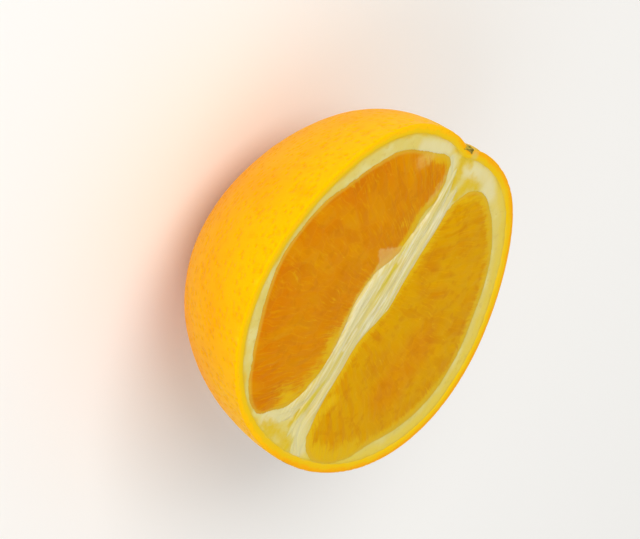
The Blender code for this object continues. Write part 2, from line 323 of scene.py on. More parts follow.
peel = {
    "facetsRound": 560,
    "facetsDown": 130,
    "rowPower": 1.15,  # above 1, rows lie closer by the rim
    "rounding": 0.00035,
    "roundRings": 4,
    "zestRings": (4, 7, 11, 13),
    "zestInward": (0.00035, 0.00195, 0.00235, 0.00235),
    "zestHeight": (0.0, 0.0, -0.00025, -0.00130),
    # Oil glands are about 1 mm apart on the fruit and are drawn a quarter coarser, so that they show
    "glandSpacing": 0.00125,
    "glandWidths": (0.42, 0.66),
    "glandDrift": 0.004,
    "glandDepth": 0.00015,
    "waveLength": 0.006,
    "waveDepth": 0.00018,
    "cutGlands": 0.0010,
    "patterns": {"patches": (0.020, 3.0), "freckles": (0.0025, 3.0)},  # grain in metres, and detail
}


def makePeel(material):
    bpy.ops.mesh.primitive_uv_sphere_add(segments=peel["facetsRound"], ring_count=2 * peel["facetsDown"],
                                         radius=1.0, location=(0, 0, 0))
    piece = nameNewest("peel")
    step = math.pi / 2 / peel["facetsDown"]
    lastRing = peel["zestRings"][-1]
    bpy.ops.object.mode_set(mode="EDIT")
    bpy.ops.mesh.select_all(action="SELECT")
    bpy.ops.mesh.bisect(plane_co=(0, 0, math.sin(step * (lastRing - 0.5))), plane_no=(0, 0, 1),
                        clear_outer=True, use_fill=True)
    bpy.ops.object.mode_set(mode="OBJECT")
    unit = getPoints(piece)
    around = np.arctan2(unit[:, 1], -unit[:, 0])
    down = np.arcsin(np.clip(-unit[:, 2] / np.linalg.norm(unit, axis=1), -1, 1))
    ring = np.clip(np.floor(-down / step + 0.75), 0, lastRing)
    rounding = peel["rounding"]
    start = rounding / fruit["radius"]
    share = (2 * np.clip(down, 0, None) / np.pi) ** peel["rowPower"]
    outer = peelPoints(around, start + (np.pi / 2 - start) * share)
    edge = peelPoints(around, np.zeros_like(around))
    inward = np.array(fruit["middle"]) - edge
    inward[:, 2] = 0
    inward /= np.linalg.norm(inward, axis=1)[:, None]
    quarter = np.clip(ring / peel["roundRings"], 0, 1) * np.pi / 2
    across = np.where(ring <= peel["roundRings"], rounding * (1 - np.cos(quarter)),
                      np.interp(ring, peel["zestRings"], peel["zestInward"]))
    height = np.where(ring <= peel["roundRings"], -rounding * (1 - np.sin(quarter)),
                      np.interp(ring, peel["zestRings"], peel["zestHeight"]))
    rim = edge + inward * across[:, None]
    rim[:, 2] += height
    points = np.where((ring > 0)[:, None], rim, outer)
    points[:, 2] = np.clip(points[:, 2], 0.0, None)
    setPoints(piece, points)
    storeValues(piece, onPeel=1 - np.clip(ring / peel["roundRings"], 0, 1), intoCut=across / peel["zestInward"][-1])
    tree, position = newReliefTree("oil glands")
    pits = glandPits(tree, position)
    waves = addNode(tree, "ShaderNodeTexNoise",
                    {"Vector": position, "Scale": 1 / peel["waveLength"], "Detail": 2.0})
    height = sumHeights(tree, ((pits, 0.0, -peel["glandDepth"]), (waves, 0.7, peel["waveDepth"])))
    applyRelief(piece, tree, height, masks=("onPeel",))
    return finishPiece(piece, material)


# Oil glands lie under the zest, one to a cell, and the skin dips over each: 1 at the bottom of a dip, 0 between
def glandPits(tree, position):
    drift = addNode(tree, "ShaderNodeTexNoise",
                    {"Vector": position, "Scale": 1 / peel["glandDrift"], "Detail": 1.0})
    narrow, wide = peel["glandWidths"]
    width = addNode(tree, "ShaderNodeMapRange",
                    {"Value": drift, "From Min": 0.3, "From Max": 0.7, "To Min": narrow, "To Max": wide})
    distance = addNode(tree, "ShaderNodeTexVoronoi",
                       {"Vector": position, "Scale": 1 / peel["glandSpacing"], "Randomness": 0.85},
                       output="Distance", feature="F1")
    share = addNode(tree, "ShaderNodeMath", {0: distance, 1: width}, operation="DIVIDE")
    return addNode(tree, "ShaderNodeMapRange", {"Value": share, "From Min": 1.0, "From Max": 0.1},
                   interpolation_type="SMOOTHERSTEP")


def makePeelMaterial():
    # Fresh orange peel: waxy zest full of oil glands, so a faint broad sheen broken up by fine dips
    material, tree, shader = newMaterial("waxy orange peel", IOR=1.45, Roughness=0.50, Specular_IOR_Level=0.14,
                                         Specular_Tint=toLinear("#FFA800"), Subsurface_Weight=0.1,
                                         Subsurface_Scale=0.0010, Subsurface_Radius=(1.0, 0.45, 0.05))
    position = addNode(tree, "ShaderNodeTexCoord", output="Object")
    y = addNode(tree, "ShaderNodeSeparateXYZ", {0: position}, output="Y")
    height = addNode(tree, "ShaderNodeSeparateXYZ", {0: position}, output="Z")
    onPeel = addNode(tree, "ShaderNodeAttribute", output="Fac", attribute_name="onPeel")
    intoCut = addNode(tree, "ShaderNodeAttribute", output="Fac", attribute_name="intoCut")
    pits = glandPits(tree, position)
    noise = {name: addNode(tree, "ShaderNodeTexNoise", {"Vector": position, "Scale": 1 / grain, "Detail": detail})
             for name, (grain, detail) in peel["patterns"].items()}
    away = {name: addNode(tree, "ShaderNodeVectorMath", {0: position, 1: tuple(middle + Vector(place))},
                          output="Value", operation="DISTANCE") for name, place in fruit["spots"].items()}
    byRim = addNode(tree, "ShaderNodeMapRange",
                    {"Value": height, "From Min": middle.z - 0.016, "From Max": middle.z})
    # painted highlights: light yellow glints on the freckles near the rim
    glints = addNode(tree, "ShaderNodeMath", {0: noise["freckles"], 1: byRim}, operation="MULTIPLY")
    skin = paintLayers(tree, "#FBAA00", (
        ("#FDB500", noise["patches"], 0.35, 0.65, 1.0),
        # painted light: the peel drawn yellower towards the rim, where it faces the lamps
        ("#FFBC00", height, middle.z - 0.012, middle.z, 0.9),
        # painted shade: deeper orange down towards the floor
        ("#F99C00", height, 0.020, 0.002, 0.8),
        ("#F59A00", noise["freckles"], 0.48, 0.30, 0.28),
        # painted glints near the rim
        ("#FFCE18", glints, 0.56, 0.72, 0.40),
        ("#F39500", pits, 0.2, 1.0, 0.17),
        # painted shade: the lower near cheek drawn deeper orange, away from the lamps
        ("#FA8A08", away["shadedCheek"], 0.024, 0.002, 0.70),
        ("#DDB200", away["stem"], 0.015, 0.004, 0.85),
        ("#8C6A1C", away["scar"], 0.0016, 0.0009, 0.6),
    ))
    # The cut zest: sliced oil glands are faint darker dots in an orange band that turns yellow towards the pith
    dots = addNode(tree, "ShaderNodeTexVoronoi", {"Vector": position, "Scale": 1 / peel["cutGlands"]},
                   output="Distance")
    wander = sumHeights(tree, ((intoCut, 0.0, 1.0), (noise["freckles"], 0.5, 0.7)))
    zest = paintLayers(tree, "#F4AA00", (
        ("#FCBE00", y, 0.002, -0.014, 1.0),
        ("#D99600", dots, 0.35, 0.1, 0.30),
        ("#EBBE0C", wander, 0.22, 0.60, 1.0),
        ("#DDC040", wander, 0.70, 1.0, 0.6),
        ("#C8C47A", away["ring"], 0.0016, 0.0002, 0.45),
    ))
    colour = paintLayers(tree, zest, ((skin, onPeel, 0.0, 1.0, 1.0),))
    tree.links.new(colour, shader.inputs["Base Color"])
    relief = sumHeights(tree, ((pits, 0.0, -1.0), (noise["freckles"], 0.5, 0.5)))
    strength = addNode(tree, "ShaderNodeMapRange", {"Value": onPeel, "To Min": 0.05, "To Max": 0.75})
    bump = addNode(tree, "ShaderNodeBump", {"Height": relief, "Strength": strength, "Distance": 0.00018})
    tree.links.new(bump, shader.inputs["Normal"])
    return material


# The flesh: two lobes on the cut, each from an outline about the fruit's middle; the edge lies below the pith

flesh = {
    "farLobe": (
        (-0.0286, 0.0110), (-0.0265, 0.0172), (-0.0220, 0.0228), (-0.0155, 0.0274), (-0.0075, 0.0304),
        (0.0025, 0.0326), (0.0115, 0.0316), (0.0190, 0.0274), (0.0250, 0.0214), (0.0300, 0.0166),
        (0.0325, 0.0115), (0.0326, 0.0066), (0.0302, 0.0028), (0.0250, 0.0006), (0.0150, 0.0005),
        (0.0080, 0.0008), (0.0030, 0.0022), (-0.0025, 0.0032), (-0.0110, 0.0037), (-0.0200, 0.0043),
        (-0.0256, 0.0060),
    ),
    "nearLobe": (
        (-0.0310, -0.0045), (-0.0290, -0.0019), (-0.0265, -0.0009), (-0.0230, -0.0012), (-0.0200, -0.0024),
        (-0.0120, -0.0024), (-0.0092, -0.0034), (-0.0062, -0.0056), (0.0000, -0.0066), (0.0055, -0.0063),
        (0.0110, -0.0050), (0.0170, -0.0049), (0.0225, -0.0066), (0.0262, -0.0098), (0.0282, -0.0132),
        (0.0297, -0.0160), (0.0290, -0.0190), (0.0265, -0.0224), (0.0215, -0.0262), (0.0150, -0.0298),
        (0.0080, -0.0330), (0.0020, -0.0344), (-0.0045, -0.0338), (-0.0115, -0.0312), (-0.0170, -0.0275),
        (-0.0230, -0.0228), (-0.0272, -0.0182), (-0.0292, -0.0130), (-0.0302, -0.0085),
    ),
    "edgeDrop": 0.00009,
    "crown": 0.00035,
    "crownReach": 0.0030,
    "depth": 0.0035,
    "grain": 0.00025,
    "intoWall": 0.00060,  # how far the flesh reaches under the edge of the pith
    "plainEdge": 0.0012,
    "glowWidth": 0.0030,
    "glowFrom": (-0.018, -0.008),
    "sacHeight": 0.00010,
    "lumpLength": 0.0045,
    "sacsAcross": 19.0,  # how many sacs stand side by side in as much width as depth
    "fanCentre": 25.0,  # millimetres beyond the core that the sacs fan out from
    "sacLength": 6.0,
    "bendLength": 8.0,
    "bend": 1.6,
    "streakShape": (5.0, 1.6, 1.0),  # streaks across a sac, along it and in depth
    "patterns": {"clouds": (0.012, 3.0), "specks": (0.0011, 3.0), "mottle": (0.0018, 2.0)},  # grain and detail
    # Redder flesh, with painted shade along the near lobe's outer edge under the pith rim, soft whitish film left on
    # the near lobe by the knife, and yellow sac ends, as lines with a reach
    "deepened": (
        # painted shade along the near lobe's outer edge, under the pith rim
        (0.0100, ((-0.0230, -0.0228), (-0.0045, -0.0338), (0.0150, -0.0298), (0.0280, -0.0190))),
        # a redder patch of the far lobe
        (0.0090, ((0.0040, 0.0190), (0.0145, 0.0170))),
    ),
    "filmed": (
        (0.0030, ((-0.0296, -0.0100), (-0.0276, -0.0120))),
        (0.0018, ((-0.0285, -0.0020), (-0.0222, -0.0026))),
        (0.0016, ((-0.0088, -0.0050), (-0.0040, -0.0066), (0.0020, -0.0070), (0.0080, -0.0060), (0.0130, -0.0052))),
    ),
    "yellowed": (
        (0.0034, ((0.0290, 0.0020), (0.0251, 0.0004), (0.0207, 0.0030))),
        (0.0055, ((0.0322, 0.0050), (0.0318, 0.0120), (0.0280, 0.0180))),
        (0.0026, ((-0.0256, 0.0060), (-0.0286, 0.0108))),
        (0.0075, ((0.0110, -0.0050), (0.0170, -0.0052), (0.0225, -0.0070), (0.0255, -0.0100))),
    ),
}


# The torn film, about the fruit's middle
film = {
    "outline": ((-0.0118, -0.0022), (-0.0111, -0.0046), (-0.0098, -0.0076), (-0.0090, -0.0094), (-0.0082, -0.0090),
                (-0.0068, -0.0072), (-0.0050, -0.0060), (-0.0055, -0.0040), (-0.0080, -0.0020)),
    "proud": 0.00012,
    "thinEdge": 0.0010,
}


# Juice sacs seen where the knife cut them lengthwise: distance to the nearest wall, a tone for each, fine streaks
def sacPattern(tree, position):
    local = addNode(tree, "ShaderNodeVectorMath", {0: position, 1: tuple(middle)}, operation="SUBTRACT")
    inMillimetres = addNode(tree, "ShaderNodeVectorMath", {0: local, "Scale": 1000.0}, operation="SCALE")
    x = addNode(tree, "ShaderNodeSeparateXYZ", {0: inMillimetres}, output="X")
    y = addNode(tree, "ShaderNodeSeparateXYZ", {0: inMillimetres}, output="Y")
    depth = addNode(tree, "ShaderNodeMath", {0: y}, operation="ABSOLUTE")
    fromCentre = addNode(tree, "ShaderNodeMath", {0: depth, 1: flesh["fanCentre"]}, operation="ADD")
    fan = addNode(tree, "ShaderNodeMath", {0: x, 1: fromCentre}, operation="DIVIDE")
    bend = addNode(tree, "ShaderNodeTexNoise",
                   {"Vector": inMillimetres, "Scale": 1 / flesh["bendLength"], "Detail": 2.0})
    across = sumHeights(tree, ((fan, 0.0, flesh["sacsAcross"]), (bend, 0.5, flesh["bend"])))
    along = addNode(tree, "ShaderNodeMath", {0: y, 1: flesh["sacLength"]}, operation="DIVIDE")
    place = addNode(tree, "ShaderNodeCombineXYZ", {"X": across, "Y": along})
    cells = {"Vector": place, "Scale": 1.0, "Randomness": 0.9}
    wall = addNode(tree, "ShaderNodeTexVoronoi", cells, output="Distance", voronoi_dimensions="2D",
                   feature="DISTANCE_TO_EDGE")
    tone = addNode(tree, "ShaderNodeTexVoronoi", cells, output="Color", voronoi_dimensions="2D", feature="SMOOTH_F1")
    stretched = addNode(tree, "ShaderNodeVectorMath", {0: place, 1: flesh["streakShape"]}, operation="MULTIPLY")
    streaks = addNode(tree, "ShaderNodeTexNoise", {"Vector": stretched, "Scale": 1.0, "Detail": 3.0})
    return wall, tone, streaks


def makeLobe(name, outline, material):
    ring = smoothOutline(outline) + plan
    filmRing = smoothOutline(film["outline"], steps=6) + plan
    top = middle.z - flesh["edgeDrop"]
    piece = prismOnLine(name, widenLine(ring, flesh["intoWall"]), top, middle.z - flesh["depth"])
    applyModifier(piece, "REMESH", mode="VOXEL", voxel_size=flesh["grain"])
    applyModifier(piece, "SMOOTH", factor=0.5, iterations=3)
    points = getPoints(piece)
    inward = insideDistance(points[:, :2], ring)
    onTop = smoothStep(points[:, 2], top - 0.0008, top - 0.0001)
    swell = 1 - np.exp(-np.clip(inward, 0, None) / flesh["crownReach"])
    points[:, 2] += (flesh["edgeDrop"] + flesh["crown"]) * swell * onTop
    inFilm = insideDistance(points[:, :2], filmRing)
    points[:, 2] += film["proud"] * onTop * smoothStep(inFilm, 0, film["thinEdge"])
    setPoints(piece, points)
    rimGlow = (1 - smoothStep(inward, 0, flesh["glowWidth"])) * smoothStep(points[:, 1], *flesh["glowFrom"])
    storeValues(piece, inward=inward * 1000, onTop=onTop * smoothStep(inward, 0, flesh["plainEdge"]),
                filmed=nearLines(points, flesh["filmed"]), inFilm=inFilm * 1000,
                deepened=nearLines(points, flesh["deepened"]),
                glow=np.maximum(rimGlow, nearLines(points, flesh["yellowed"])))
    tree, position = newReliefTree("juice sacs")
    wall, _, streaks = sacPattern(tree, position)
    lumps = addNode(tree, "ShaderNodeTexNoise",
                    {"Vector": position, "Scale": 1 / flesh["lumpLength"], "Detail": 2.0})
    height = flesh["sacHeight"]
    relief = sumHeights(tree, ((wall, 0.1, height * 3), (streaks, 0.5, height), (lumps, 0.5, height * 3)))
    applyRelief(piece, tree, relief, masks=("onTop",), straightUp=True)
    return finishPiece(piece, material)


def makeFleshMaterial():
    # Wet orange flesh: clear amber juice in thin-walled sacs, so light runs under a surface with a warm shine. The
    # film that the knife tore from a segment wall lies on it against the core, thin enough for the amber to tint it
    material, tree, shader = newMaterial("wet orange flesh", IOR=1.36, Roughness=0.38, Specular_IOR_Level=0.09,
                                         Specular_Tint=toLinear("#FFB020"), Subsurface_Weight=0.4,
                                         Subsurface_Scale=0.0020, Subsurface_Radius=(1.0, 0.42, 0.05))
    position = addNode(tree, "ShaderNodeTexCoord", output="Object")
    wall, cellColour, streaks = sacPattern(tree, position)
    tone = addNode(tree, "ShaderNodeSeparateColor", {0: cellColour}, output="Red")
    second = addNode(tree, "ShaderNodeSeparateColor", {0: cellColour}, output="Green")
    y = addNode(tree, "ShaderNodeSeparateXYZ", {0: position}, output="Y")
    noise = {name: addNode(tree, "ShaderNodeTexNoise", {"Vector": position, "Scale": 1 / grain, "Detail": detail})
             for name, (grain, detail) in flesh["patterns"].items()}
    clouds, specks, mottle = noise["clouds"], noise["specks"], noise["mottle"]
    inward, glow, deepened, filmed, inFilm = [
        addNode(tree, "ShaderNodeAttribute", output="Fac", attribute_name=name)
        for name in ("inward", "glow", "deepened", "filmed", "inFilm")]
    aroundEdge = addNode(tree, "ShaderNodeMath", {0: inFilm, 1: 0.25}, operation="SUBTRACT")
    filmEdge = addNode(tree, "ShaderNodeMath", {0: aroundEdge}, operation="ABSOLUTE")
    filmDepth = sumHeights(tree, ((inFilm, 0.0, 1.0), (specks, 0.5, 1.6), (mottle, 0.5, 2.0)))
    glowing = sumHeights(tree, ((glow, 0.0, 1.0), (streaks, 0.5, 1.2), (specks, 0.5, 0.8), (clouds, 0.5, 1.6)))
    filming = sumHeights(tree, ((filmed, 0.0, 1.0), (specks, 0.5, 1.2)))
    colour = paintLayers(tree, "#D38400", (
        ("#D29A00", y, -0.003, 0.002, 1.0),
        # painted shade: deeper orange along the near lobe's outer edge by the pith rim; in the far lobe a redder
        # patch of flesh
        ("#CF6E00", deepened, 0.0, 1.0, 0.50),
        ("#DA9D00", tone, 0.35, 0.9, 0.35),
        ("#C47200", second, 0.4, 0.9, 0.35),
        ("#C46E00", clouds, 0.48, 0.70, 0.40),
        ("#DEA406", streaks, 0.50, 0.72, 0.35),
        ("#BE6C00", mottle, 0.52, 0.70, 0.30),
        ("#E2A81C", wall, 0.05, 0.0, 0.14),
        ("#E4BC28", specks, 0.70, 0.78, 0.45),
        ("#DCB216", glowing, 0.20, 1.00, 0.85),
        ("#D9AC34", inward, 0.60, -0.1, 0.60),
        ("#DDB868", filming, 0.1, 1.5, 0.50),
        ("#D8A656", filmDepth, -0.4, 0.9, 0.75),
        ("#DEBE7C", filmEdge, 0.45, 0.0, 0.22),
    ))
    tree.links.new(colour, shader.inputs["Base Color"])
    relief = sumHeights(tree, ((streaks, 0.5, 1.0), (specks, 0.5, 0.5)))
    bump = addNode(tree, "ShaderNodeBump", {"Height": relief, "Strength": 0.35, "Distance": 0.00012})
    tree.links.new(bump, shader.inputs["Normal"])
    return material


# The pith: a pale spongy layer between the zest and the flesh, and the bed that the core lies on

pith = {
    "facets": 420,
    "underZest": 0.0015,
    "drop": 0.00012,
    "depth": 0.0030,
    "grain": 0.00034,
    "pocketDepth": 0.0016,
    "spongeSize": 0.0016,
    "spongeHeight": 0.00020,
    "waveLength": 0.009,
    "waveHeight": 0.00030,
    "patterns": {"wander": (0.004, 3.0), "clouds": (0.005, 4.0), "pores": (0.0012, 4.0)},  # grain and detail
    # Where vessels stain it yellow and where it is whitest, as lines with a reach
    "yellowed": (
        (0.0024, ((-0.0352, 0.0004), (-0.0322, 0.0005), (-0.0273, 0.0016))),
        (0.0020, ((-0.0347, 0.0020), (-0.0325, 0.0034))),
        (0.0028, ((-0.0261, 0.0046), (-0.0290, 0.0056), (-0.0298, 0.0088))),
        (0.0014, ((0.0120, -0.0030), (0.0177, -0.0026), (0.0243, -0.0042), (0.0293, -0.0052))),
        (0.0034, ((0.0314, -0.0119), (0.0311, -0.0086), (0.0327, -0.0022))),
        (0.0016, ((-0.0080, -0.0022), (0.0000, -0.0034), (0.0060, -0.0032))),
    ),
    "whitened": (
        (0.0040, ((-0.0306, -0.0135), (-0.0325, -0.0062))),
        (0.0026, ((-0.0312, -0.0031), (-0.0290, -0.0010))),
        (0.0042, ((-0.0319, 0.0044), (-0.0320, 0.0108), (-0.0295, 0.0148))),
        (0.0040, ((0.0302, -0.0128), (0.0282, -0.0092), (0.0261, -0.0067))),
        (0.0040, ((0.0274, -0.0027), (0.0301, -0.0015), (0.0330, 0.0021))),
        (0.0020, ((-0.0060, -0.0046), (0.0010, -0.0052), (0.0080, -0.0046))),
    ),
}


def nearLines(points, lines):
    near = np.zeros(len(points))
    for reach, line in lines:
        near = np.maximum(near, 1 - smoothStep(lineDistance(points[:, :2] - plan, line), 0, reach))
    return near


def makePith(material):
    around = np.linspace(0, 2 * np.pi, pith["facets"], endpoint=False)
    edge = peelPoints(around, np.zeros(pith["facets"]), sink=pith["underZest"])[:, :2]
    piece = prismOnLine("pith", edge, middle.z - pith["drop"], middle.z - pith["depth"])
    for outline in (flesh["farLobe"], flesh["nearLobe"]):
        pocket = prismOnLine("pocket", smoothOutline(outline) + plan,
                             middle.z + 0.002, middle.z - pith["pocketDepth"])
        applyModifier(piece, "BOOLEAN", operation="DIFFERENCE", object=pocket, solver="EXACT")
        bpy.data.objects.remove(pocket)
    applyModifier(piece, "REMESH", mode="VOXEL", voxel_size=pith["grain"])
    applyModifier(piece, "SMOOTH", factor=0.5, iterations=2)
    points = getPoints(piece)
    fromRim = np.clip(insideDistance(points[:, :2], edge), 0, None)
    storeValues(piece, fromRim=fromRim * 1000, yellowed=nearLines(points, pith["yellowed"]),
                whitened=nearLines(points, pith["whitened"]))
    tree, position = newReliefTree("spongy pith")
    sponge = addNode(tree, "ShaderNodeTexNoise",
                     {"Vector": position, "Scale": 1 / pith["spongeSize"], "Detail": 3.0})
    waves = addNode(tree, "ShaderNodeTexNoise",
                    {"Vector": position, "Scale": 1 / pith["waveLength"], "Detail": 1.0})
    relief = sumHeights(tree, ((sponge, 0.5, pith["spongeHeight"]), (waves, 0.5, pith["waveHeight"])))
    applyRelief(piece, tree, relief, straightUp=True)
    return finishPiece(piece, material)


def makePithMaterial():
    # Citrus pith: dry white sponge, yellower towards the zest, that scatters light so its edges look soft
    material, tree, shader = newMaterial("spongy citrus pith", IOR=1.4, Roughness=0.62, Specular_IOR_Level=0.3,
                                         Subsurface_Weight=0.35, Subsurface_Scale=0.0016,
                                         Subsurface_Radius=(1.0, 0.75, 0.35))
    position = addNode(tree, "ShaderNodeTexCoord", output="Object")
    y = addNode(tree, "ShaderNodeSeparateXYZ", {0: position}, output="Y")
    noise = {name: addNode(tree, "ShaderNodeTexNoise", {"Vector": position, "Scale": 1 / grain, "Detail": detail})
             for name, (grain, detail) in pith["patterns"].items()}
    wander, clouds, pores = noise["wander"], noise["clouds"], noise["pores"]
    fromRim, yellowed, whitened = [addNode(tree, "ShaderNodeAttribute", output="Fac", attribute_name=name)
                                   for name in ("fromRim", "yellowed", "whitened")]
    ring = tuple(middle + Vector(fruit["spots"]["ring"]))
    fromRing = addNode(tree, "ShaderNodeVectorMath", {0: position, 1: ring}, output="Value", operation="DISTANCE")
    rimDepth = sumHeights(tree, ((fromRim, 0.0, 1.0), (wander, 0.5, 2.4)))
    farDepth = sumHeights(tree, ((rimDepth, 0.0, 1.0), (y, 0.0, -45.0)))
    yellowing = sumHeights(tree, ((yellowed, 0.0, 1.0), (clouds, 0.5, 1.2), (pores, 0.5, 1.2)))
    whitening = sumHeights(tree, ((whitened, 0.0, 1.0), (clouds, 0.5, 1.2)))
    colour = paintLayers(tree, "#D9C568", (
        ("#DED28C", clouds, 0.45, 0.70, 0.8),
        ("#DEC344", farDepth, 2.6, 0.4, 0.85),
        ("#DDB62A", rimDepth, 1.4, 0.3, 0.95),
        ("#CBB054", pores, 0.58, 0.70, 0.35),
        ("#DED39E", whitening, 0.20, 1.05, 0.85),
        ("#D8B61A", yellowing, 0.12, 1.20, 0.95),
        ("#C8C47A", fromRing, 0.0016, 0.0002, 0.45),
    ))
    tree.links.new(colour, shader.inputs["Base Color"])
    bump = addNode(tree, "ShaderNodeBump", {"Height": pores, "Strength": 0.4, "Distance": 0.00014})
    tree.links.new(bump, shader.inputs["Normal"])
    return material


# The core: white strands from the stem to the blossom end, each (x, y, half width), partly torn by the knife

core = {
    "strands": (
        ((-0.0300, 0.0032, 0.0003), (-0.0225, 0.0028, 0.0014), (-0.0140, 0.0021, 0.0016),
         (-0.0060, 0.0016, 0.0018), (-0.0005, 0.0014, 0.0021), (0.0045, 0.0002, 0.0016),
         (0.0090, -0.0008, 0.0012), (0.0160, -0.0010, 0.0014), (0.0230, -0.0010, 0.0015),
         (0.0285, 0.0004, 0.0013), (0.0325, 0.0022, 0.0004)),
        ((-0.0318, -0.0002, 0.0003), (-0.0240, 0.0006, 0.0014), (-0.0150, -0.0004, 0.0017),
         (-0.0070, -0.0010, 0.0023), (0.0005, -0.0022, 0.0025), (0.0070, -0.0026, 0.0019),
         (0.0140, -0.0028, 0.0013), (0.0210, -0.0031, 0.0013), (0.0270, -0.0036, 0.0014),
         (0.0320, -0.0040, 0.0004)),
        ((-0.0150, -0.0018, 0.0006), (-0.0095, -0.0022, 0.0013), (-0.0040, -0.0044, 0.0020),
         (0.0020, -0.0051, 0.0020), (0.0075, -0.0043, 0.0016), (0.0130, -0.0038, 0.0015),
         (0.0185, -0.0044, 0.0014), (0.0235, -0.0060, 0.0014), (0.0275, -0.0088, 0.0014),
         (0.0303, -0.0128, 0.0003)),
    ),
    # Short roots where the strands spread at both ends
    "roots": (
        ((0.0215, -0.0012, 0.0008), (0.0262, -0.0014, 0.0010), (0.0300, -0.0002, 0.0009), (0.0338, 0.0030, 0.0004)),
        ((0.0225, -0.0030, 0.0008), (0.0275, -0.0030, 0.0010), (0.0310, -0.0018, 0.0008), (0.0342, 0.0006, 0.0004)),
        ((0.0235, -0.0050, 0.0008), (0.0270, -0.0066, 0.0009), (0.0296, -0.0092, 0.0008), (0.0322, -0.0124, 0.0004)),
        ((-0.0324, -0.0042, 0.0004), (-0.0290, -0.0016, 0.0010), (-0.0240, -0.0004, 0.0008)),
    ),
    "flatness": 0.36,  # height of a strand against its width
    "endSink": 0.00020,
    "endReach": 0.014,
    "grain": 0.0002,
    "fibreDepth": 0.00017,
    "lumpLength": 0.0035,
    "halfLength": 0.034,
    "threads": 50,
    "threadLength": (0.006, 0.020),
    "threadRadius": (0.00005, 0.00012),
    "threadKnots": 8,
    "seed": 21,
}


# A cord through points of (x, y, z, radius), as a closed mesh
def makeCord(name, knots, sides=3, steps=10):
    deselectAll()
    curve = bpy.data.curves.new(name, "CURVE")
    curve.dimensions = "3D"
    curve.bevel_depth = 1.0
    curve.bevel_resolution = sides
    curve.resolution_u = steps
    curve.use_fill_caps = True
    spline = curve.splines.new("BEZIER")
    spline.bezier_points.add(len(knots) - 1)
    for knot, (x, y, z, radius) in zip(spline.bezier_points, knots):
        knot.co = (x, y, z)
        knot.radius = radius
        knot.handle_left_type = knot.handle_right_type = "AUTO"
    cord = bpy.data.objects.new(name, curve)
    bpy.context.scene.collection.objects.link(cord)
    makeActive(cord)
    bpy.ops.object.convert(target="MESH")
    bpy.ops.object.mode_set(mode="EDIT")
    bpy.ops.mesh.select_all(action="SELECT")
    bpy.ops.mesh.remove_doubles(threshold=0.000002)
    bpy.ops.mesh.normals_make_consistent(inside=False)
    bpy.ops.object.mode_set(mode="OBJECT")
    return bpy.context.object


# How far each point is from the core's ends, in millimetres, and how near to the yellow and the white lines
def storeCoreValues(piece):
    points = getPoints(piece)
    toEnd = np.clip(core["halfLength"] - np.abs(points[:, 0]), 0, None)
    storeValues(piece, toEnd=toEnd * 1000, yellowed=nearLines(points, pith["yellowed"]),
                whitened=nearLines(points, pith["whitened"]))


def makeCore(material):
    pieces = []
    for number, path in enumerate(core["strands"] + core["roots"]):
        cord = makeCord(f"strand{number}", [(x, y, 0.0, w) for x, y, w in path])
        points = getPoints(cord)
        toEnd = np.minimum(points[:, 0] - path[0][0], path[-1][0] - points[:, 0])
        rise = smoothStep(toEnd, 0, core["endReach"])
        points[:, 2] = points[:, 2] * core["flatness"] * (0.45 + 0.55 * rise) - core["endSink"] * (1 - rise)
        setPoints(cord, points + np.array(fruit["middle"]))
        pieces.append(cord)
    piece = joinPieces("core", pieces)
    applyModifier(piece, "REMESH", mode="VOXEL", voxel_size=core["grain"])
    applyModifier(piece, "SMOOTH", factor=0.5, iterations=3)
    storeCoreValues(piece)
    tree, position = newReliefTree("core fibres")
    lengthwise = addNode(tree, "ShaderNodeVectorMath", {0: position, 1: (0.13, 1.0, 1.0)}, operation="MULTIPLY")
    fibres = addNode(tree, "ShaderNodeTexNoise", {"Vector": lengthwise, "Scale": 1 / 0.0010, "Detail": 3.0})
    lumps = addNode(tree, "ShaderNodeTexNoise",
                    {"Vector": position, "Scale": 1 / core["lumpLength"], "Detail": 2.0})
    relief = sumHeights(tree, ((fibres, 0.5, core["fibreDepth"]), (lumps, 0.5, core["fibreDepth"])))
    applyRelief(piece, tree, relief)
    return finishPiece(piece, material)


# Fine threads along the core, thrown at small angles across its strands and pressed onto what lies below
def makeThreads(material, ground):
    rng = np.random.default_rng(core["seed"])
    strands = [np.array(path) for path in core["strands"]]
    last = core["threadKnots"] - 1
    pieces = []
    for number in range(core["threads"]):
        path = strands[rng.integers(len(strands))]
        begin = rng.uniform(path[0, 0] + 0.001, path[-1, 0] - 0.012)
        end = min(begin + rng.uniform(*core["threadLength"]), path[-1, 0] - 0.0005)
        side, drift = rng.uniform(-0.95, 0.95), rng.uniform(-0.6, 0.6)
        radius = rng.uniform(*core["threadRadius"])
        knots = []
        for count, x in enumerate(np.linspace(begin, end, last + 1)):
            offset = np.clip(side + drift * (count / last - 0.5), -1.0, 1.0)
            y = np.interp(x, path[:, 0], path[:, 1]) + offset * np.interp(x, path[:, 0], path[:, 2])
            atEnd = count in (0, last)
            z = heightOf(ground, x + middle.x, y + middle.y) - radius * (2.0 if atEnd else 0.3)
            knots.append((x + middle.x, y + middle.y, z, radius * (0.3 if atEnd else 1.0)))
        pieces.append(makeCord(f"thread{number}", knots, sides=1, steps=4))
    piece = joinPieces("coreThreads", pieces)
    storeCoreValues(piece)
    return finishPiece(piece, material)


